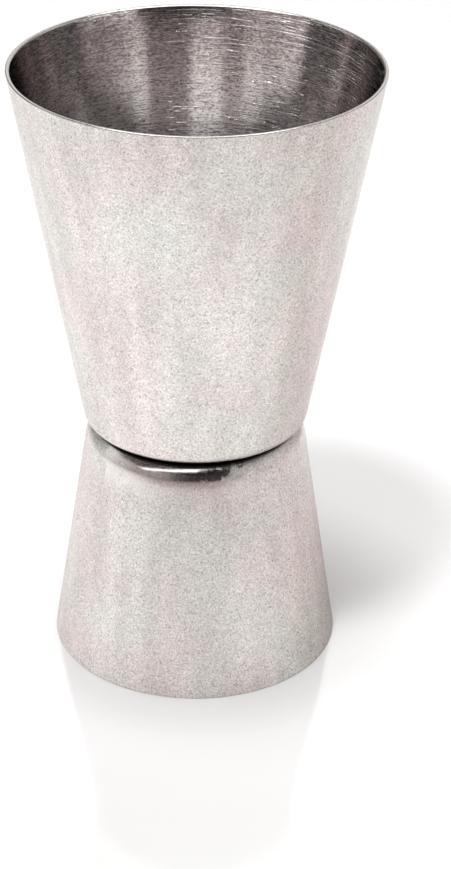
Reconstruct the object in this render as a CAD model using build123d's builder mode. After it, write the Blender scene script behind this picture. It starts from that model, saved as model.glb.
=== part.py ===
from build123d import *
import os
from math import asin, atan2, degrees, pi, tan

# A double-ended bar jigger, in millimetres, standing on the mouth of its small cup.
# Two conical cups, each drawn from one disc of stainless sheet, sit floor to floor.
# Spot welds through the two floors hold them together: each leaves a nugget of fused steel
# between the floors and a shallow electrode mark on the inside of each cup.
# The origin is the centre of the small cup's mouth, +Z runs up through the large cup.

# Sheet and mouths
sheet = 0.5
mouth_edge_round = 0.12  # both deburred corners of each mouth, with a flat land left between them

# Large cup, 50 ml to the brim
large_mouth_diameter = 46.3  # outside
large_floor_diameter = 28.6  # outside, where the wall line meets the floor
large_cup_height = 47.4
large_corner_radius = 1.5  # outside

# Small cup, 25 ml to the brim
small_mouth_diameter = 37.6
small_floor_diameter = 27.8
small_cup_height = 32.0
small_corner_radius = 3.0

# Spot welds
weld_count = 3
weld_edge_distance = 4.8  # from the edge of the flat that the floors share to a weld's centre
nugget_diameter = 3.2
nugget_depth = 0.3  # into each floor
electrode_mark_diameter = 4.6
electrode_mark_depth = 0.07


def floor_flat_radius(mouth_diameter, floor_diameter, height, corner_radius):
    """Radius of the flat of a cup's floor, which ends where the corner's arc starts: short of the
    wall line by the arc's tangent length."""
    wall_angle = atan2((mouth_diameter - floor_diameter) / 2, height)
    return floor_diameter / 2 - corner_radius * tan((pi / 2 - wall_angle) / 2)


# The floors meet on one plane and touch as far out as the smaller flat reaches
large_flat_radius = floor_flat_radius(
    large_mouth_diameter, large_floor_diameter, large_cup_height, large_corner_radius
)
small_flat_radius = floor_flat_radius(
    small_mouth_diameter, small_floor_diameter, small_cup_height, small_corner_radius
)
weld_circle_radius = min(large_flat_radius, small_flat_radius) - weld_edge_distance
floor_plane = Plane.XY.offset(small_cup_height)
large_inside_floor = floor_plane.offset(sheet)
small_inside_floor = floor_plane.offset(-sheet)

# Profile planes with their origin at the floors' centre and local Y along the cup, floor to mouth
large_profile_plane = Plane(floor_plane.origin, x_dir=(1, 0, 0), z_dir=(0, -1, 0))
small_profile_plane = Plane(floor_plane.origin, x_dir=(1, 0, 0), z_dir=(0, 1, 0))


def draw_cup(profile_plane, mouth_diameter, floor_diameter, height, corner_radius):
    """Draws one cup in the current part: a solid cone, its floor corner rounded, hollowed to the
    sheet's thickness from the mouth, with both edges of the mouth broken."""
    with BuildSketch(profile_plane) as half_cone:
        with BuildLine():
            Polyline(
                (0, 0),
                (floor_diameter / 2, 0),
                (mouth_diameter / 2, height),
                (0, height),
                close=True,
            )
        make_face()
    cone = revolve(half_cone.sketch, axis=Axis.Z)
    floor_to_mouth = Axis(profile_plane.origin, profile_plane.y_dir)
    floor = cone.faces().sort_by(floor_to_mouth)[0]
    rounded = fillet(floor.edges(), radius=corner_radius)
    mouth = rounded.faces().sort_by(floor_to_mouth)[-1]
    shell = offset(amount=-sheet, openings=mouth)
    mouth_land = shell.faces().sort_by(floor_to_mouth)[-1]
    fillet(mouth_land.edges(), radius=mouth_edge_round)


def draw_cap(diameter, depth):
    """Draws one spherical cap in the current part, flat side on Plane.XY and bulging down."""
    cap_sphere_radius = (diameter**2 / 4 + depth**2) / (2 * depth)
    half_angle = degrees(asin(diameter / 2 / cap_sphere_radius))
    with BuildSketch(Plane.XZ) as half_cap:
        with BuildLine():
            arc = CenterArc(
                center=(0, cap_sphere_radius - depth),
                radius=cap_sphere_radius,
                start_angle=-90,
                arc_size=half_angle,
            )
            Polyline(arc @ 1, (0, 0), arc @ 0)
        make_face()
    revolve(half_cap.sketch, axis=Axis.Z)


# One nugget: a lens, deepest at its centre, half of it in each floor
with BuildPart() as nugget:
    draw_cap(nugget_diameter, nugget_depth)
    mirror(about=Plane.XY)

# The dish that an electrode presses into a floor, flat side at the floor's surface
with BuildPart() as electrode_mark:
    draw_cap(electrode_mark_diameter, electrode_mark_depth)

with BuildPart() as large_cup:
    draw_cup(
        large_profile_plane,
        large_mouth_diameter,
        large_floor_diameter,
        large_cup_height,
        large_corner_radius,
    )
    with Locations(floor_plane), PolarLocations(weld_circle_radius, weld_count):
        add(nugget.part, mode=Mode.SUBTRACT)
    with Locations(large_inside_floor), PolarLocations(weld_circle_radius, weld_count):
        add(electrode_mark.part, mode=Mode.SUBTRACT)
large_cup.part.label = "large_cup"

with BuildPart() as small_cup:
    draw_cup(
        small_profile_plane,
        small_mouth_diameter,
        small_floor_diameter,
        small_cup_height,
        small_corner_radius,
    )
    with Locations(floor_plane), PolarLocations(weld_circle_radius, weld_count):
        add(nugget.part, mode=Mode.SUBTRACT)
    with Locations(small_inside_floor), PolarLocations(weld_circle_radius, weld_count):
        add(electrode_mark.part, rotation=(180, 0, 0), mode=Mode.SUBTRACT)
small_cup.part.label = "small_cup"

with BuildPart() as weld_nuggets:
    with Locations(floor_plane), PolarLocations(weld_circle_radius, weld_count):
        add(nugget.part)
weld_nuggets.part.label = "weld_nuggets"

os.makedirs("parts", exist_ok=True)
for piece in (large_cup, small_cup, weld_nuggets):
    export_step(piece.part, f"parts/{piece.part.label}.step")
    print(piece.part.label, len(piece.part.solids()), round(piece.part.volume, 2), "mm3")
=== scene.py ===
import math

import bpy
import numpy as np
from mathutils import Matrix, Vector


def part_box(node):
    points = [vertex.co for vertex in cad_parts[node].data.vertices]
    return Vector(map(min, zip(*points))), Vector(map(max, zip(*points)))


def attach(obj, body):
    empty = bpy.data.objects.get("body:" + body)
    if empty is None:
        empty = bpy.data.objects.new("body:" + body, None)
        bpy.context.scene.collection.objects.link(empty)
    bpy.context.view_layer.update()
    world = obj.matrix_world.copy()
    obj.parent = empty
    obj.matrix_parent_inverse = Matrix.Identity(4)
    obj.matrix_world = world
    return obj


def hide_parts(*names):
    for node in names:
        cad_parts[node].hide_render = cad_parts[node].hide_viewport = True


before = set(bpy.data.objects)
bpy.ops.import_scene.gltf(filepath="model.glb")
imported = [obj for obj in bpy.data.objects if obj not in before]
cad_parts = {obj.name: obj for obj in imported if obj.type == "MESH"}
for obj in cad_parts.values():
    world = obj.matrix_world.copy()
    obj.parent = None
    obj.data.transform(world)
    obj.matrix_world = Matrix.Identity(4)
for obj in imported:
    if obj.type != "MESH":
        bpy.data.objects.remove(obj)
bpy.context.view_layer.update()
mm = 0.001

# ---------------------------------------------------------------------------------------------
# Camera. It looks down on the jigger from the front, close enough for its full height and the
# tabletop before it to fill an upright frame, with a long lens and no shift.
camera_distance = 276.1 * mm  # in front of the jigger's axis
camera_height = 180.0 * mm
camera_turn = math.radians(0.81)  # towards +X
camera_tilt = math.radians(28.71)  # below the horizon
camera_roll = math.radians(0.63)
focal_length = 99.85  # mm, for a frame 36 mm high

camera_data = bpy.data.cameras.new("camera")
camera_data.sensor_width = 36.0
camera_data.lens = focal_length
camera = bpy.data.objects.new("camera", camera_data)
bpy.context.scene.collection.objects.link(camera)
bpy.context.scene.camera = camera
camera.matrix_world = (
    Matrix.Translation((0, -camera_distance, camera_height))
    @ Matrix.Rotation(-camera_turn, 4, "Z")
    @ Matrix.Rotation(math.pi / 2 - camera_tilt, 4, "X")
    @ Matrix.Rotation(camera_roll, 4, "Z")
)


# ---------------------------------------------------------------------------------------------
# Large cup: the upper measure, a tall cone with a small round corner at its floor. It is drawn
# from one disc of thin stainless sheet, tumbled to a fine satin outside, turned smooth inside,
# and trimmed and deburred at the mouth. Spot welds have left shallow dishes in its floor.
large_floor_radius = 14.3 * mm  # where the outside wall line meets the floor
large_corner = 1.5 * mm
sheet = 0.5 * mm
outer_edge_round = 0.12 * mm
inner_edge_round = 0.28 * mm
weld_nugget_radius = 1.6 * mm
dish_radius = 2.3 * mm
dish_depth = 0.07 * mm
weld_count = 3
ripple_heights = (0.41 * mm, 0.23 * mm, 0.67 * mm)  # height of one radian of each turning ripple
ripple_depth = 0.0012 * mm
ripple_from_floor = 2.5 * mm
ripple_from_mouth = 1.0 * mm
segments = 256
arc_step = math.radians(6)  # about the turn between two points of a round corner


def rounded_outline(corners, radii, zones, spacing):
    """An outline through corners, each replaced by an arc of its radius: the arc starts and ends
    its radius over the tangent of half the corner's angle away from the corner, and its centre
    lies on the angle's bisector. Straight runs are divided evenly, at their own spacing. Gives
    the points and, for each step between two points, the zone of the run or arc it is on."""
    corners = np.array(corners, float)
    points, steps = [corners[:1]], []
    last = corners[0]
    for i in range(1, len(corners)):
        here = corners[i]
        back = (corners[i - 1] - here) / np.linalg.norm(corners[i - 1] - here)
        reach, arc = 0.0, None
        if i < len(corners) - 1:
            ahead = (corners[i + 1] - here) / np.linalg.norm(corners[i + 1] - here)
            half = math.acos(float(np.clip(back @ ahead, -1, 1))) / 2
            reach = radii[i] / math.tan(half)
            middle = here + (back + ahead) / np.linalg.norm(back + ahead) * radii[i] / math.sin(half)
            start, end = here + back * reach - middle, here + ahead * reach - middle
            turn = math.pi - 2 * half
            t = np.linspace(0, 1, max(4, round(turn / arc_step)) + 1)[1:, None]
            arc = middle + (start * np.sin((1 - t) * turn) + end * np.sin(t * turn)) / math.sin(turn)
        stop = here + back * reach
        count = max(1, round(np.linalg.norm(stop - last) / spacing[i - 1]))
        run = last + (stop - last) * np.linspace(0, 1, count + 1)[1:, None]
        points.append(run)
        steps += [zones[i - 1]] * count
        if arc is not None:
            points.append(arc)
            steps += [max(zones[i - 1], zones[i])] * len(arc)
            last = arc[-1]
    return np.vstack(points), np.array(steps)


def cup_outline(floor_radius, rim_radius, height, corner):
    """The sheet's section from the middle of the floor inside, over the mouth, to the middle of
    the floor outside: radius, and height above the floor's outside. The wall line meets the
    mouth outside the rim by the outer edge round times the wall's tangent plus one less its
    cosine over its cosine. The inside wall is the outside wall moved in by the sheet's
    thickness, square to the wall."""
    lean = math.atan2(rim_radius - floor_radius, height)
    mouth_radius = rim_radius + outer_edge_round * (math.tan(lean) + 1 / math.cos(lean) - 1)
    inset = sheet / math.cos(lean)
    inside, edge, outside = 1, 2, 0
    spacing = [0.3 * mm, 0.35 * mm, 0.1 * mm, 0.8 * mm, 1.2 * mm]  # finest at the mouth's edge
    return rounded_outline(
        [
            (0, sheet),
            (floor_radius + sheet * math.tan(lean) - inset, sheet),
            (mouth_radius - inset, height),
            (mouth_radius, height),
            (floor_radius, 0),
            (0, 0),
        ],
        [0, corner - sheet, inner_edge_round, outer_edge_round, corner, 0],
        [inside, inside, edge, outside, outside],
        spacing,
    )


def turned_shell(name, outline, steps, joint_height, up, weld_circle):
    """A closed shell: the outline carried round the axis in equal turns, with a point at each
    pole. Height runs up from the joint plane for up = 1 and down for up = -1. The inside floor
    is pressed down by a round dish at each weld, as deep as the dish's depth times one less the
    square of the distance over the dish's radius. The inside wall, clear of the floor's corner
    and the mouth, is moved out by the ripple's depth times a sine of the height for each turning
    ripple. The UV is the distance along the outline, in millimetres, and the turn as a share of
    a full one. The attribute weld_distance is the distance to the nearest weld, in millimetres."""
    radius, height = outline[:, 0], outline[:, 1]
    along = np.concatenate([[0], np.cumsum(np.linalg.norm(np.diff(outline, axis=0), axis=1))])
    turn = np.arange(segments) / segments * 2 * math.pi
    inside = np.concatenate([[True], steps == 1])
    wall = inside & (height > ripple_from_floor) & (height < height.max() - ripple_from_mouth)
    ripple = sum(np.sin(height / each) for each in ripple_heights)
    r = (radius + wall * ripple * ripple_depth)[1:-1, None] * np.ones(segments)
    h = height[1:-1, None] * np.ones(segments)
    x, y = r * np.cos(turn), r * np.sin(turn)
    weld_turn = np.arange(weld_count) / weld_count * 2 * math.pi
    to_weld = np.hypot(
        x[..., None] - weld_circle * np.cos(weld_turn),
        y[..., None] - weld_circle * np.sin(weld_turn),
    ).min(axis=-1)
    on_floor = (inside & (np.abs(height - sheet) < 0.001 * mm))[1:-1, None]
    h = h - on_floor * dish_depth * np.clip(1 - (to_weld / dish_radius) ** 2, 0, None)
    rows = np.stack([x, y, joint_height + up * h], axis=-1).reshape(-1, 3)
    poles = [[0, 0, joint_height + up * height[0]], [0, 0, joint_height + up * height[-1]]]
    vertices = np.vstack([rows, poles])
    near_weld = np.concatenate([to_weld.ravel(), [weld_circle, weld_circle]])

    count = len(radius) - 2
    i, j = np.meshgrid(np.arange(count - 1), np.arange(segments), indexing="ij")
    k = (j + 1) % segments
    row, next_row = i * segments, (i + 1) * segments
    quads = np.stack([row + j, next_row + j, next_row + k, row + k], -1)
    quad_u = np.stack([along[i + 1], along[i + 2], along[i + 2], along[i + 1]], -1)
    quad_v = np.stack([j, j, j + 1, j + 1], -1) / segments
    j = np.arange(segments)
    k = (j + 1) % segments
    top, end, last = len(rows), len(rows) + 1, (count - 1) * segments
    first_fan = np.stack([np.full(segments, top), j, k], -1)
    last_fan = np.stack([last + j, np.full(segments, end), last + k], -1)
    fan_v = np.stack([j + 0.5, j, j + 1], -1) / segments
    first_u = np.tile([along[0], along[1], along[1]], (segments, 1))
    last_u = np.tile([along[-2], along[-1], along[-2]], (segments, 1))
    last_v = np.stack([j, j + 0.5, j + 1], -1) / segments

    loops = np.concatenate([quads.reshape(-1), first_fan.reshape(-1), last_fan.reshape(-1)])
    u = np.concatenate([quad_u.reshape(-1), first_u.reshape(-1), last_u.reshape(-1)]) / mm
    v = np.concatenate([quad_v.reshape(-1), fan_v.reshape(-1), last_v.reshape(-1)])
    sizes = np.concatenate([np.full(len(quads.reshape(-1, 4)), 4), np.full(2 * segments, 3)])
    starts = np.concatenate([[0], np.cumsum(sizes)[:-1]])
    fan_zones = [np.full(segments, steps[0]), np.full(segments, steps[-1])]
    zone = np.concatenate([np.repeat(steps[1:-1], segments), *fan_zones])

    mesh = bpy.data.meshes.new(name)
    mesh.vertices.add(len(vertices))
    mesh.vertices.foreach_set("co", vertices.astype(np.float32).ravel())
    mesh.loops.add(len(loops))
    mesh.loops.foreach_set("vertex_index", loops.astype(np.int32))
    mesh.polygons.add(len(sizes))
    mesh.polygons.foreach_set("loop_start", starts.astype(np.int32))
    mesh.polygons.foreach_set("loop_total", sizes.astype(np.int32))
    mesh.polygons.foreach_set("material_index", zone.astype(np.int32))
    mesh.polygons.foreach_set("use_smooth", np.ones(len(sizes), bool))
    uv = mesh.uv_layers.new(name="along_and_turn")
    uv.data.foreach_set("uv", np.stack([u, v], -1).astype(np.float32).ravel())
    distance = mesh.attributes.new("weld_distance", "FLOAT", "POINT")
    distance.data.foreach_set("value", (near_weld / mm).astype(np.float32))
    mesh.update()
    mesh.validate()
    if up < 0:
        mesh.flip_normals()
    shell = bpy.data.objects.new(name, mesh)
    bpy.context.scene.collection.objects.link(shell)
    return shell


def linear(hex_colour):
    """sRGB hex to linear RGBA. A channel from 0 to 1 is divided by 12.92 up to 0.04045, and above
    that it is moved up by 0.055, divided by 1.055 and raised to the power 2.4."""
    channels = [int(hex_colour[k : k + 2], 16) / 255 for k in (1, 3, 5)]
    return [c / 12.92 if c <= 0.04045 else ((c + 0.055) / 1.055) ** 2.4 for c in channels] + [1.0]


def add_node(tree, kind, inputs=None, **settings):
    """Adds a node, sets its properties, and sets or links each named or numbered input."""
    made = tree.nodes.new(kind)
    for name, value in settings.items():
        setattr(made, name, value)
    for name, value in (inputs or {}).items():
        if isinstance(value, bpy.types.NodeSocket):
            tree.links.new(value, made.inputs[name])
        else:
            made.inputs[name].default_value = value
    return made


def new_material(name):
    """A material whose node tree is empty. Gives the material and the tree."""
    material = bpy.data.materials.new(name)
    material.use_nodes = True
    material.node_tree.nodes.clear()
    return material, material.node_tree


rubbed_middle = math.radians(-18)  # bearing from the front, positive to the right
rubbed_half = math.radians(39)
rubbed_fade = 0.08  # radians to each side of the patch's end, over which the rubbing fades
rubbed_ragged = 0.3  # radians by which the blotches push that end in and out
rubbed_elsewhere = 0.12  # share of the rubbing that the rest of the corner has had
noise_low, noise_high = 0.3, 0.7  # a noise is nearly always between these


def satin_steel(name, polish_starts, polish_full, crevice_shade_starts, crevice_shade_full):
    """Stainless sheet tumbled among stones, which leaves a matt grain about 0.2 mm across. That
    blurs whatever the steel mirrors into broad soft bands. The colour is a clouding from pink to
    green times the product of four noises: the grain, dark pits, blotches, and streaks that run
    down the wall, which paint in soft upright reflections of the room. The corner has been rubbed
    over a patch of bearings with ragged ends, from nothing at the height where polish starts to
    all at the height where it is full: it is smoother and more even there, and mirrors sharp
    glints. In the crevice between the cups the colour goes to near black as painted shade, from
    nothing to all between the two crevice shade heights. Heights are in metres."""
    material, tree = new_material(name)
    place = add_node(tree, "ShaderNodeTexCoord").outputs["Object"]
    parts = add_node(tree, "ShaderNodeSeparateXYZ", {0: place}).outputs
    noises = []
    for size, detail, roughness in (
        (0.21 * mm, 2.0, 0.75),  # grain
        (0.28 * mm, 1.0, 0.5),  # pits
        (1.4 * mm, 2.0, 0.6),  # blotches
        (11 * mm, 2.0, 0.5),  # clouding
    ):
        noise = add_node(
            tree,
            "ShaderNodeTexNoise",
            {"Vector": place, "Scale": 1 / size, "Detail": detail, "Roughness": roughness},
        )
        noises.append(noise.outputs["Fac"])
    grain, pits, blotches, clouding = noises
    # Painted reflection: streaks in the colour that run down the wall stand in for soft upright bands of
    # the room mirrored by the satin steel.
    streak_width, streak_length = 3.2 * mm, 30 * mm
    streak_place = add_node(
        tree,
        "ShaderNodeVectorMath",
        {0: place, 1: (1 / streak_width, 1 / streak_width, 1 / streak_length)},
        operation="MULTIPLY",
    ).outputs[0]
    streaks = add_node(
        tree, "ShaderNodeTexNoise", {"Vector": streak_place, "Scale": 1.0, "Detail": 2.0}
    ).outputs["Fac"]

    # how far each spot is rubbed, from 0 to 1: by its height, then by its bearing
    polish = add_node(
        tree,
        "ShaderNodeMapRange",
        {0: parts["Z"], 1: polish_starts, 2: polish_full, 3: 0.0, 4: 1.0},
        interpolation_type="SMOOTHSTEP",
    ).outputs[0]
    forward = add_node(tree, "ShaderNodeMath", {0: parts["Y"], 1: -1.0}, operation="MULTIPLY").outputs[0]
    bearing = add_node(tree, "ShaderNodeMath", {0: parts["X"], 1: forward}, operation="ARCTAN2").outputs[0]
    ragged = add_node(
        tree,
        "ShaderNodeMapRange",
        {0: blotches, 1: noise_low, 2: noise_high, 3: -rubbed_ragged, 4: rubbed_ragged},
    ).outputs[0]
    bearing = add_node(tree, "ShaderNodeMath", {0: bearing, 1: ragged}, operation="ADD").outputs[0]
    off_middle = add_node(
        tree, "ShaderNodeMath", {0: bearing, 1: rubbed_middle}, operation="SUBTRACT"
    ).outputs[0]
    off_middle = add_node(tree, "ShaderNodeMath", {0: off_middle}, operation="ABSOLUTE").outputs[0]
    patch_starts, patch_ends = rubbed_half - rubbed_fade, rubbed_half + rubbed_fade
    rubbed = add_node(
        tree,
        "ShaderNodeMapRange",
        {0: off_middle, 1: patch_starts, 2: patch_ends, 3: 1.0, 4: rubbed_elsewhere},
        interpolation_type="SMOOTHSTEP",
    ).outputs[0]
    polish = add_node(tree, "ShaderNodeMath", {0: polish, 1: rubbed}, operation="MULTIPLY").outputs[0]
    # Painted shade: the colour goes to near black in the crevice between the cups, from nothing at the
    # first crevice height to all at the second.
    crevice_shade = add_node(
        tree,
        "ShaderNodeMapRange",
        {0: parts["Z"], 1: crevice_shade_starts, 2: crevice_shade_full, 3: 0.0, 4: 1.0},
        interpolation_type="SMOOTHSTEP",
    ).outputs[0]

    cloud = add_node(tree, "ShaderNodeMapRange", {0: clouding, 1: 0.35, 2: 0.65, 3: 0.0, 4: 1.0})
    tone = add_node(
        tree,
        "ShaderNodeMix",
        {0: cloud.outputs[0], 6: linear("#E0D7D5"), 7: linear("#DEDDD8")},
        data_type="RGBA",
    )
    factor = add_node(
        tree, "ShaderNodeMapRange", {0: grain, 1: noise_low, 2: noise_high, 3: 0.62, 4: 1.32}
    ).outputs[0]
    for source, low_in, high_in, low_out, high_out in (
        (pits, 0.30, 0.42, 0.66, 1.0),
        (blotches, noise_low, noise_high, 0.94, 1.05),
        (streaks, noise_low, noise_high, 0.9, 1.06),
    ):
        share = add_node(
            tree, "ShaderNodeMapRange", {0: source, 1: low_in, 2: high_in, 3: low_out, 4: high_out}
        ).outputs[0]
        factor = add_node(tree, "ShaderNodeMath", {0: factor, 1: share}, operation="MULTIPLY").outputs[0]
    even_tone, evened_share = 0.9, 0.6  # rubbing takes the noises this share of the way to even
    evened = add_node(
        tree, "ShaderNodeMath", {0: polish, 1: evened_share}, operation="MULTIPLY"
    ).outputs[0]
    factor = add_node(
        tree, "ShaderNodeMix", {0: evened, 2: factor, 3: even_tone}, data_type="FLOAT"
    ).outputs[0]
    colour = add_node(
        tree, "ShaderNodeVectorMath", {0: tone.outputs[2], "Scale": factor}, operation="SCALE"
    ).outputs[0]
    # the painted crevice shade, near black
    crevice_shaded_colour = add_node(
        tree, "ShaderNodeMix", {0: crevice_shade, 6: colour, 7: linear("#2A2725")}, data_type="RGBA"
    ).outputs[2]

    matt_rough = add_node(
        tree, "ShaderNodeMapRange", {0: grain, 1: noise_low, 2: noise_high, 3: 0.38, 4: 0.5}
    ).outputs[0]
    rubbed_rough = add_node(
        tree, "ShaderNodeMapRange", {0: grain, 1: noise_low, 2: noise_high, 3: 0.08, 4: 0.24}
    ).outputs[0]
    rough = add_node(
        tree, "ShaderNodeMix", {0: polish, 2: matt_rough, 3: rubbed_rough}, data_type="FLOAT"
    ).outputs[0]
    relief_share = add_node(tree, "ShaderNodeMapRange", {0: polish, 3: 0.6, 4: 0.3}).outputs[0]
    grain_depth = 0.012 * mm
    bump = add_node(
        tree, "ShaderNodeBump", {"Strength": relief_share, "Distance": grain_depth, "Height": grain}
    )
    shader = add_node(
        tree,
        "ShaderNodeBsdfPrincipled",
        {"Base Color": crevice_shaded_colour, "Metallic": 1.0, "Roughness": rough, "Normal": bump.outputs[0]},
    )
    add_node(tree, "ShaderNodeOutputMaterial", {"Surface": shader.outputs[0]})
    return material


painted_glints_from = -5 * mm  # across the cup: the painted glint lines are on its right side only
painted_glints_all = 1 * mm
painted_light_below = 66 * mm  # heights between which the inside goes from painted light to its own tone
painted_light_ends_above = 76 * mm
tint_radius = dish_radius / mm  # a weld's heat has tinted a ring at its dish's edge
tint_half_width = 0.7  # mm
tint_strength = 0.4


def turned_steel(name):
    """Stainless sheet smoothed and polished while it spun. The scratches run round the cup, which
    stretches what it mirrors into upright bands, crossed by broken dull and bright lines. The
    colour is the steel's own times the product of five factors from noises that are long round
    the cup and narrow down its wall: short scratches, long ones, dots, deeper dots and broad
    bands. It is painted brighter deep in the cup: painted light. A few thin cuts on one side are
    painted almost white, as painted glints. A straw tint rings each weld. Real turning scratches
    are finer than 0.2 mm apart: they are drawn that coarse so that they show."""
    material, tree = new_material(name)
    object_place = add_node(tree, "ShaderNodeTexCoord").outputs["Object"]
    place = add_node(tree, "ShaderNodeSeparateXYZ", {0: object_place}).outputs
    map_place = add_node(tree, "ShaderNodeUVMap", uv_map="along_and_turn").outputs[0]
    along = add_node(tree, "ShaderNodeSeparateXYZ", {0: map_place}).outputs["X"]
    scratches = []
    for length, pitch_mm, detail in (
        (1.4 * mm, 0.18, 2.0),  # short
        (8 * mm, 0.26, 2.0),  # long
        (0.45 * mm, 0.18, 2.0),  # dots
        (4 * mm, 1.1, 2.0),  # bands
        (7 * mm, 0.2, 0.0),  # cuts
    ):
        stretched = []
        for source, per_unit in (
            (place["X"], 1 / length),
            (place["Y"], 1 / length),
            (along, 1 / pitch_mm),
        ):
            part = add_node(tree, "ShaderNodeMath", {0: source, 1: per_unit}, operation="MULTIPLY")
            stretched.append(part.outputs[0])
        vector = add_node(tree, "ShaderNodeCombineXYZ", dict(enumerate(stretched))).outputs[0]
        noise = add_node(
            tree,
            "ShaderNodeTexNoise",
            {"Vector": vector, "Scale": 1.0, "Detail": detail, "Roughness": 0.75},
        )
        scratches.append(noise.outputs["Fac"])
    short, long, dots, bands, cuts = scratches

    factor = add_node(tree, "ShaderNodeMapRange", {0: short, 1: 0.28, 2: 0.72, 3: 0.5, 4: 1.5}).outputs[0]
    for source, low_in, high_in, low_out, high_out in (
        (long, 0.36, 0.64, 0.86, 1.12),
        (dots, 0.28, 0.72, 0.2, 1.8),
        (dots, 0.24, 0.34, 0.35, 1.0),
        (bands, noise_low, noise_high, 0.9, 1.08),
        # painted light: the colour is brighter deep in the cup
        (place["Z"], painted_light_below, painted_light_ends_above, 1.35, 0.96),
    ):
        share = add_node(
            tree, "ShaderNodeMapRange", {0: source, 1: low_in, 2: high_in, 3: low_out, 4: high_out}
        ).outputs[0]
        factor = add_node(tree, "ShaderNodeMath", {0: factor, 1: share}, operation="MULTIPLY").outputs[0]
    colour = add_node(
        tree, "ShaderNodeVectorMath", {0: linear("#E0D8D7")[:3], "Scale": factor}, operation="SCALE"
    ).outputs[0]
    weld_distance = add_node(tree, "ShaderNodeAttribute", attribute_name="weld_distance").outputs["Fac"]
    heat = add_node(
        tree, "ShaderNodeMath", {0: weld_distance, 1: tint_radius, 2: tint_half_width}, operation="COMPARE"
    ).outputs[0]
    heat = add_node(tree, "ShaderNodeMath", {0: heat, 1: tint_strength}, operation="MULTIPLY").outputs[0]
    tinted = add_node(
        tree, "ShaderNodeMix", {0: heat, 6: colour, 7: linear("#B89A76")}, data_type="RGBA"
    ).outputs[2]
    # Painted highlight: thin cuts on the right side go almost white, painted glints as of scratches that
    # catch the light; the same lines are also raised as relief below.
    line = add_node(tree, "ShaderNodeMapRange", {0: cuts, 1: 0.64, 2: 0.67, 3: 0.0, 4: 1.0}).outputs[0]
    side = add_node(
        tree, "ShaderNodeMapRange", {0: place["X"], 1: painted_glints_from, 2: painted_glints_all, 3: 0.0, 4: 1.0}
    ).outputs[0]
    painted_glint_lines = add_node(tree, "ShaderNodeMath", {0: line, 1: side}, operation="MULTIPLY").outputs[0]
    tone = add_node(
        tree, "ShaderNodeMix", {0: painted_glint_lines, 6: tinted, 7: linear("#FBF8F6")}, data_type="RGBA"
    ).outputs[2]

    rough = add_node(
        tree, "ShaderNodeMapRange", {0: short, 1: noise_low, 2: noise_high, 3: 0.06, 4: 0.15}
    ).outputs[0]
    relief = add_node(tree, "ShaderNodeMath", {0: short, 1: long}, operation="ADD").outputs[0]
    scratch_depth, glint_line_depth = 0.005 * mm, 0.05 * mm
    normal = add_node(
        tree, "ShaderNodeBump", {"Strength": 1.0, "Distance": scratch_depth, "Height": relief}
    ).outputs[0]
    normal = add_node(
        tree,
        "ShaderNodeBump",
        {"Strength": 1.0, "Distance": glint_line_depth, "Height": painted_glint_lines, "Normal": normal},
    ).outputs[0]
    shader = add_node(
        tree,
        "ShaderNodeBsdfPrincipled",
        {"Base Color": tone, "Metallic": 1.0, "Roughness": rough, "Normal": normal},
    )
    add_node(tree, "ShaderNodeOutputMaterial", {"Surface": shader.outputs[0]})
    return material


def cut_edge_steel(name):
    """The edge of the sheet, trimmed on a press and deburred with a stone: bright, so that it
    draws a thin line of light round the mouth, with fine marks along it that break the line. The
    roughness follows a noise of 0.5 mm."""
    material, tree = new_material(name)
    place = add_node(tree, "ShaderNodeTexCoord").outputs["Object"]
    mark_size = 0.5 * mm
    marks = add_node(
        tree, "ShaderNodeTexNoise", {"Vector": place, "Scale": 1 / mark_size, "Detail": 2.0}
    ).outputs["Fac"]
    rough = add_node(
        tree, "ShaderNodeMapRange", {0: marks, 1: noise_low, 2: noise_high, 3: 0.12, 4: 0.3}
    ).outputs[0]
    shader = add_node(
        tree,
        "ShaderNodeBsdfPrincipled",
        {"Base Color": linear("#C6C2BF"), "Metallic": 1.0, "Roughness": rough},
    )
    add_node(tree, "ShaderNodeOutputMaterial", {"Surface": shader.outputs[0]})
    return material


low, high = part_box("large_cup")
joint_height = low.z
weld_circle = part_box("weld_nuggets")[1].x - weld_nugget_radius
outline, steps = cup_outline(large_floor_radius, -low.x, high.z - low.z, large_corner)
large = turned_shell("large_measure", outline, steps, joint_height, 1, weld_circle)
turned = turned_steel("turned_stainless_steel")
edge = cut_edge_steel("deburred_stainless_edge")
large.data.materials.append(
    satin_steel(
        "tumbled_stainless_steel",
        polish_starts=joint_height + 1.2 * mm,
        polish_full=joint_height + 0.4 * mm,
        crevice_shade_starts=joint_height + 0.42 * mm,
        crevice_shade_full=joint_height + 0.22 * mm,
    )
)
large.data.materials.append(turned)
large.data.materials.append(edge)
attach(large, "root")
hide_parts("large_cup")

# ---------------------------------------------------------------------------------------------
# Small cup: the lower measure, upside down, whose mouth is the jigger's foot. It is drawn and
# finished like the large one, with a larger corner at its floor, rubbed bright over a deep band.
small_floor_radius = 13.9 * mm  # where the outside wall line meets the floor
small_corner = 3.0 * mm

low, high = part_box("small_cup")
outline, steps = cup_outline(small_floor_radius, -low.x, high.z - low.z, small_corner)
small = turned_shell("small_measure", outline, steps, joint_height, -1, weld_circle)
small.data.materials.append(
    satin_steel(
        "tumbled_stainless_steel_small",
        polish_starts=joint_height - 6.4 * mm,
        polish_full=joint_height - 2.5 * mm,
        crevice_shade_starts=joint_height - 0.85 * mm,
        crevice_shade_full=joint_height - 0.5 * mm,
    )
)
small.data.materials.append(turned)
small.data.materials.append(edge)
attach(small, "root")
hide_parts("small_cup")

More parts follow.
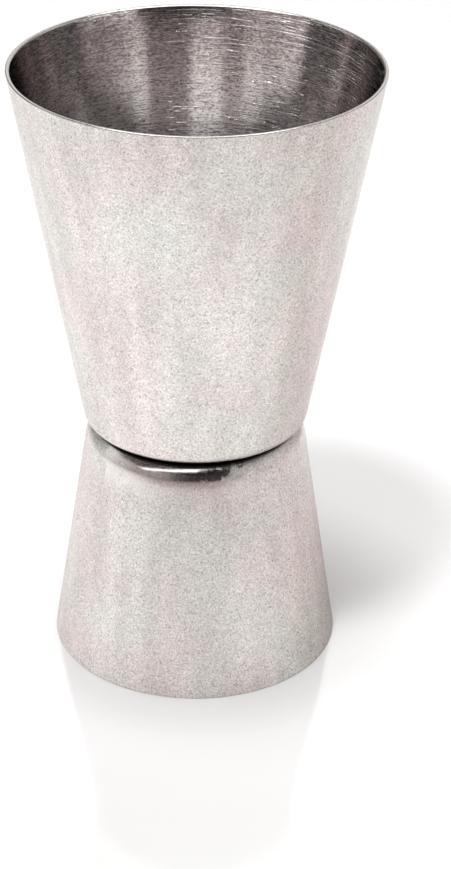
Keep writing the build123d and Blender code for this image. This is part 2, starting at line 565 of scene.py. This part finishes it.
# ---------------------------------------------------------------------------------------------
# Weld nuggets: the fused steel of the spot welds, sealed between the two floors. Welding melted
# them and they froze as they are, in crystals about 0.3 mm across: grey and duller than the sheet.
weld_steel, tree = new_material("fused_weld_steel")
place = add_node(tree, "ShaderNodeTexCoord").outputs["Object"]
crystal_size = 0.3 * mm
crystals = add_node(tree, "ShaderNodeTexVoronoi", {"Vector": place, "Scale": 1 / crystal_size})
rough = add_node(tree, "ShaderNodeMapRange", {0: crystals.outputs["Distance"], 3: 0.4, 4: 0.6}).outputs[0]
shader = add_node(
    tree,
    "ShaderNodeBsdfPrincipled",
    {"Base Color": linear("#BDB6B1"), "Metallic": 1.0, "Roughness": rough},
)
add_node(tree, "ShaderNodeOutputMaterial", {"Surface": shader.outputs[0]})
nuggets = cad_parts["weld_nuggets"]
nuggets.data.materials.clear()
nuggets.data.materials.append(weld_steel)

# ---------------------------------------------------------------------------------------------
# Table: a pale, lightly polished white sheet that runs out of view on all sides. Its polish
# fades away from the jigger, and far off it fades into the pale of the room.
table_half = 4.0
table_tone = (0.864, 0.864, 0.864, 1)
far_pale = (0.95, 0.95, 0.95, 1)
far_starts, far_all = 0.22, 0.6  # metres from the axis
polish_reach = 80 * mm
polish_behind = 0.15  # share of the polish that is left behind the jigger
polish_rises, polish_whole = -8 * mm, 14 * mm  # in front of the axis
polish_rough = 0.1


def set_stops(ramp, stops):
    """Gives a ramp of colours its stops, each a position from 0 to 1 and a colour. The colour is
    straight between two stops, and even before the first and after the last."""
    while len(ramp.elements) > 1:
        ramp.elements.remove(ramp.elements[-1])
    for k, (position, colour) in enumerate(stops):
        stop = ramp.elements[0] if k == 0 else ramp.elements.new(position)
        stop.position = position
        stop.color = (*colour, 1)


corners = [(x * table_half, y * table_half, 0) for x, y in ((-1, -1), (1, -1), (1, 1), (-1, 1))]
mesh = bpy.data.meshes.new("table")
mesh.from_pydata(corners, [], [(0, 1, 2, 3)])
table = bpy.data.objects.new("table", mesh)
bpy.context.scene.collection.objects.link(table)
white_table, tree = new_material("white_table")
place = add_node(tree, "ShaderNodeTexCoord").outputs["Object"]
from_axis = add_node(tree, "ShaderNodeVectorMath", {0: place}, operation="LENGTH").outputs["Value"]
parts = add_node(tree, "ShaderNodeSeparateXYZ", {0: place}).outputs
forward = add_node(tree, "ShaderNodeMath", {0: parts["Y"], 1: -1.0}, operation="MULTIPLY").outputs[0]
bearing = add_node(tree, "ShaderNodeMath", {0: parts["X"], 1: forward}, operation="ARCTAN2").outputs[0]
share_round = add_node(
    tree, "ShaderNodeMapRange", {0: bearing, 1: -math.pi, 2: math.pi, 3: 0.0, 4: 1.0}
).outputs[0]

# The polish: the share of light that the table mirrors, by the distance from the axis in mm. It
# is less behind the jigger than in front, and gives the eye a soft mirror image of the jigger.
polish_by_distance = [
    (20, 0.24), (28, 0.19), (36, 0.24), (44, 0.25), (54, 0.23), (66, 0.2), (79, 0.06),
]
along_radius = add_node(
    tree, "ShaderNodeMath", {0: from_axis, 1: 1 / polish_reach}, operation="MULTIPLY"
).outputs[0]
polish_ramp = add_node(tree, "ShaderNodeValToRGB", {0: along_radius})
set_stops(
    polish_ramp.color_ramp,
    [(distance * mm / polish_reach, (level,) * 3) for distance, level in polish_by_distance],
)
in_front = add_node(
    tree,
    "ShaderNodeMapRange",
    {0: forward, 1: polish_rises, 2: polish_whole, 3: polish_behind, 4: 1.0},
    interpolation_type="SMOOTHSTEP",
).outputs[0]
polish = add_node(
    tree, "ShaderNodeMath", {0: polish_ramp.outputs["Color"], 1: in_front}, operation="MULTIPLY"
).outputs[0]

# The tabletop as the steel mirrors it, with painted light and shade: its tone by bearing in
# degrees from the front, positive to the right, on rings at a distance from the axis in mm.
# Darker tones are a little warmer.
rings = [
    (30, [
        (-180, 0.8), (-125, 0.86), (-100, 0.9), (-80, 0.94), (-66, 0.98), (-50, 1.0), (-36, 0.92),
        (-20, 0.84), (10, 0.84), (30, 0.8), (46, 0.86), (54, 0.78), (62, 0.66), (78, 0.6), (92, 0.52),
        (120, 0.5), (160, 0.65), (180, 0.8),
    ]),
    (56, [
        (-180, 0.83), (-125, 0.82), (-100, 0.75), (-80, 0.84), (-66, 0.95), (-50, 1.0), (-30, 0.92),
        (-15, 0.9), (0, 0.93), (12, 0.9), (25, 0.86), (38, 0.92), (50, 0.97), (62, 0.88), (74, 0.8),
        (90, 0.72), (104, 0.7), (120, 0.64), (143, 0.75), (180, 0.83),
    ]),
    (90, [
        (-180, 1.0), (-110, 1.0), (-95, 1.0), (-70, 1.03), (-45, 1.13), (-20, 1.19), (10, 1.15),
        (30, 1.03), (48, 0.98), (60, 0.88), (76, 0.73), (90, 0.7), (105, 0.74), (120, 0.84),
        (150, 0.98), (180, 1.0),
    ]),
    (128, [
        (-180, 1.0), (-110, 0.95), (-85, 0.88), (-60, 0.88), (-45, 0.85), (-10, 0.7), (10, 0.64),
        (32, 0.62), (45, 0.66), (60, 0.62), (85, 0.62), (100, 0.78), (130, 1.0), (180, 1.0),
    ]),
    (150, [
        (-180, 1.0), (-110, 0.9), (-85, 0.8), (-60, 0.62), (-45, 0.42), (-30, 0.3), (10, 0.28),
        (25, 0.4), (40, 0.58), (60, 0.6), (85, 0.6), (100, 0.78), (130, 1.0), (180, 1.0),
    ]),
]
painted_mirrored_tone, last_distance = None, None
for distance, tones in rings:
    ring = add_node(tree, "ShaderNodeValToRGB", {0: share_round})
    set_stops(
        ring.color_ramp,
        [
            ((side + 180) / 360, (tone, tone * (0.8 + 0.2 * tone), tone * (0.78 + 0.22 * tone)))
            for side, tone in tones
        ],
    )
    if painted_mirrored_tone is None:
        painted_mirrored_tone = ring.outputs["Color"]
    else:
        outward = add_node(
            tree,
            "ShaderNodeMapRange",
            {0: from_axis, 1: last_distance * mm, 2: distance * mm, 3: 0.0, 4: 1.0},
        ).outputs[0]
        painted_mirrored_tone = add_node(
            tree,
            "ShaderNodeMix",
            {0: outward, 6: painted_mirrored_tone, 7: ring.outputs["Color"]},
            data_type="RGBA",
        ).outputs[2]
    last_distance = distance

in_mirror = add_node(tree, "ShaderNodeLightPath").outputs["Is Glossy Ray"]
not_in_mirror = add_node(tree, "ShaderNodeMath", {0: 1.0, 1: in_mirror}, operation="SUBTRACT").outputs[0]
# Painted light and shade: the ring tones colour the table only in the steel's mirror; seen directly it has
# its plain tone.
colour = add_node(
    tree, "ShaderNodeMix", {0: in_mirror, 6: table_tone, 7: painted_mirrored_tone}, data_type="RGBA"
).outputs[2]
matt = add_node(tree, "ShaderNodeBsdfDiffuse", {"Color": colour}).outputs[0]
gloss = add_node(
    tree, "ShaderNodeBsdfGlossy", {"Color": (1, 1, 1, 1), "Roughness": polish_rough}
).outputs[0]
polish = add_node(tree, "ShaderNodeMath", {0: polish, 1: not_in_mirror}, operation="MULTIPLY").outputs[0]
near = add_node(tree, "ShaderNodeMixShader", {0: polish, 1: matt, 2: gloss}).outputs[0]
far = add_node(tree, "ShaderNodeEmission", {"Color": far_pale}).outputs[0]
haze = add_node(
    tree,
    "ShaderNodeMapRange",
    {0: from_axis, 1: far_starts, 2: far_all, 3: 0.0, 4: 1.0},
    interpolation_type="SMOOTHSTEP",
).outputs[0]
haze = add_node(tree, "ShaderNodeMath", {0: haze, 1: not_in_mirror}, operation="MULTIPLY").outputs[0]
surface = add_node(tree, "ShaderNodeMixShader", {0: haze, 1: near, 2: far}).outputs[0]
add_node(tree, "ShaderNodeOutputMaterial", {"Surface": surface})
table.data.materials.append(white_table)

# ---------------------------------------------------------------------------------------------
# Room: pale walls to the right and behind, a dark end in front, a bright ceiling panel, and a
# long strip light over the front left. The steel mirrors it. Seen directly it is a plain pale
# wall.
dark_above = 0.15  # brightness of the upper walls, as a share of the lower walls'
ceiling_starts, ceiling_all = 0.93, 0.985  # sines of the elevation
ceiling_brightness = 0.8
deep_brightness = 0.14
lamp_ring, lamp_ring_half = 0.905, 0.04  # sines of the elevation
lamp_ring_brightness = 7.0
strip_middle, strip_half = -0.88, 0.93  # across, on a level one unit up
strip_slope, strip_forward = 0.225, -0.765  # the strip's line on that level
strip_half_width = 0.14
strip_lowest = 0.05  # sine of the elevation
strip_brightness = 2.6

world = bpy.data.worlds.new("room")
bpy.context.scene.world = world
world.use_nodes = True
tree = world.node_tree
tree.nodes.clear()
toward = add_node(tree, "ShaderNodeTexCoord").outputs["Generated"]
parts = add_node(tree, "ShaderNodeSeparateXYZ", {0: toward}).outputs
paths = add_node(tree, "ShaderNodeLightPath").outputs
first_mirror = add_node(
    tree, "ShaderNodeMath", {0: paths["Glossy Depth"], 1: 1.5}, operation="LESS_THAN"
).outputs[0]

# The walls, by bearing in degrees from the front, positive to the right. Darker ones are warmer.
walls = [
    (-180, 0.98), (-172, 0.98), (-170, 0.31), (-116, 0.31), (-113, 0.9), (-95, 1.0), (-85, 0.75),
    (-76, 0.66), (-66, 0.5), (-56, 0.44), (-34, 0.44), (-20, 0.15), (-5, 0.05), (36, 0.05), (42, 0.8),
    (60, 0.9), (85, 0.78), (100, 0.95), (113, 0.82), (124, 0.4), (143, 0.48), (152, 0.98), (180, 0.98),
]
forward = add_node(tree, "ShaderNodeMath", {0: parts["Y"], 1: -1.0}, operation="MULTIPLY").outputs[0]
bearing = add_node(tree, "ShaderNodeMath", {0: parts["X"], 1: forward}, operation="ARCTAN2").outputs[0]
share_round = add_node(
    tree, "ShaderNodeMapRange", {0: bearing, 1: -math.pi, 2: math.pi, 3: 0.0, 4: 1.0}
).outputs[0]
wall_ramp = add_node(tree, "ShaderNodeValToRGB", {0: share_round})
stops = []
for side, tone in walls:
    warm = 1 - 0.15 * max(0.0, 1 - tone)
    stops.append(((side + 180) / 360, (tone, tone * warm, tone * (warm - 0.01))))
set_stops(wall_ramp.color_ramp, stops)

# The walls darken upwards, from a height, as the sine of the elevation, that is lower in front
# than behind, and lower again in a second mirror, as deep in a cup. Below, each pair of values
# is for a second mirror and for the first.
behind_all = 0.45  # the direction's Y from which on it is wholly behind
front_start = add_node(tree, "ShaderNodeMapRange", {0: first_mirror, 3: 0.30, 4: 0.42}).outputs[0]
back_start = add_node(tree, "ShaderNodeMapRange", {0: first_mirror, 3: 0.40, 4: 0.66}).outputs[0]
fade_height = add_node(tree, "ShaderNodeMapRange", {0: first_mirror, 3: 0.11, 4: 0.2}).outputs[0]
fade_start = add_node(
    tree, "ShaderNodeMapRange", {0: parts["Y"], 1: 0.0, 2: behind_all, 3: front_start, 4: back_start}
).outputs[0]
fade_end = add_node(tree, "ShaderNodeMath", {0: fade_start, 1: fade_height}, operation="ADD").outputs[0]
wall_share = add_node(
    tree,
    "ShaderNodeMapRange",
    {0: parts["Z"], 1: fade_start, 2: fade_end, 3: 1.0, 4: dark_above},
    interpolation_type="SMOOTHSTEP",
).outputs[0]
room_light = add_node(
    tree,
    "ShaderNodeVectorMath",
    {0: wall_ramp.outputs["Color"], "Scale": wall_share},
    operation="SCALE",
).outputs[0]
ceiling = add_node(
    tree,
    "ShaderNodeMapRange",
    {0: parts["Z"], 1: ceiling_starts, 2: ceiling_all, 3: 0.0, 4: ceiling_brightness},
    interpolation_type="SMOOTHSTEP",
).outputs[0]
room_light = add_node(tree, "ShaderNodeVectorMath", {0: room_light, 1: ceiling}, operation="ADD").outputs[0]
least_light = add_node(
    tree, "ShaderNodeMapRange", {0: first_mirror, 3: deep_brightness, 4: 0.0}
).outputs[0]
room_light = add_node(
    tree, "ShaderNodeVectorMath", {0: room_light, 1: least_light}, operation="MAXIMUM"
).outputs[0]

# The lamps as the steel mirrors them: a soft ring round the zenith instead of hard discs.
lamp_light = add_node(
    tree, "ShaderNodeMath", {0: parts["Z"], 1: lamp_ring, 2: lamp_ring_half}, operation="COMPARE"
).outputs[0]
for share in (paths["Is Glossy Ray"], first_mirror, lamp_ring_brightness):
    lamp_light = add_node(
        tree, "ShaderNodeMath", {0: lamp_light, 1: share}, operation="MULTIPLY"
    ).outputs[0]
room_light = add_node(
    tree, "ShaderNodeVectorMath", {0: room_light, 1: lamp_light}, operation="ADD"
).outputs[0]

# The strip light, where the direction meets a level one unit up: it is along a straight line
# there, and its ends are square across.
flat_x = add_node(tree, "ShaderNodeMath", {0: parts["X"], 1: parts["Z"]}, operation="DIVIDE").outputs[0]
flat_y = add_node(tree, "ShaderNodeMath", {0: parts["Y"], 1: parts["Z"]}, operation="DIVIDE").outputs[0]
in_x = add_node(
    tree, "ShaderNodeMath", {0: flat_x, 1: strip_middle, 2: strip_half}, operation="COMPARE"
).outputs[0]
strip_line = add_node(
    tree, "ShaderNodeMath", {0: flat_x, 1: strip_slope, 2: strip_forward}, operation="MULTIPLY_ADD"
).outputs[0]
in_y = add_node(
    tree, "ShaderNodeMath", {0: flat_y, 1: strip_line, 2: strip_half_width}, operation="COMPARE"
).outputs[0]
above = add_node(
    tree, "ShaderNodeMath", {0: parts["Z"], 1: strip_lowest}, operation="GREATER_THAN"
).outputs[0]
in_strip = in_x
for share in (in_y, above, first_mirror):
    in_strip = add_node(tree, "ShaderNodeMath", {0: in_strip, 1: share}, operation="MULTIPLY").outputs[0]
lit = add_node(
    tree,
    "ShaderNodeMix",
    {0: in_strip, 6: room_light, 7: (strip_brightness, strip_brightness, strip_brightness, 1)},
    data_type="RGBA",
).outputs[2]
shown = add_node(
    tree, "ShaderNodeMix", {0: paths["Is Camera Ray"], 6: lit, 7: far_pale}, data_type="RGBA"
).outputs[2]
background = add_node(tree, "ShaderNodeBackground", {"Color": shown, "Strength": 1.0})
add_node(tree, "ShaderNodeOutputWorld", {"Surface": background.outputs[0]})

# ---------------------------------------------------------------------------------------------
# Lamps: a small lamp with a wide softbox round it, high in front to the left, which throw the
# soft shadow, and one overhead. The steel doesn't mirror their discs: the room stands in there.
lamp_distance = 0.9
for name, bearing_degrees, height_degrees, width, power in (
    ("key", -29.3, 70.7, 0.12, 3.16),
    ("fill", -30.4, 74.9, 0.67, 1.76),
    ("overhead", -80.0, 88.0, 0.24, 3.5),
):
    lamp_data = bpy.data.lights.new(name, "AREA")
    lamp_data.shape = "DISK"
    lamp_data.size = width
    lamp_data.energy = power
    lamp = bpy.data.objects.new(name, lamp_data)
    bpy.context.scene.collection.objects.link(lamp)
    lamp.visible_glossy = False
    side, up = math.radians(bearing_degrees), math.radians(height_degrees)
    to_lamp = Vector((math.sin(side) * math.cos(up), -math.cos(side) * math.cos(up), math.sin(up)))
    lamp.location = to_lamp * lamp_distance
    lamp.rotation_mode = "QUATERNION"
    lamp.rotation_quaternion = to_lamp.to_track_quat("Z", "Y")

bpy.context.scene.view_settings.view_transform = "Standard"
bpy.context.scene.view_settings.look = "None"
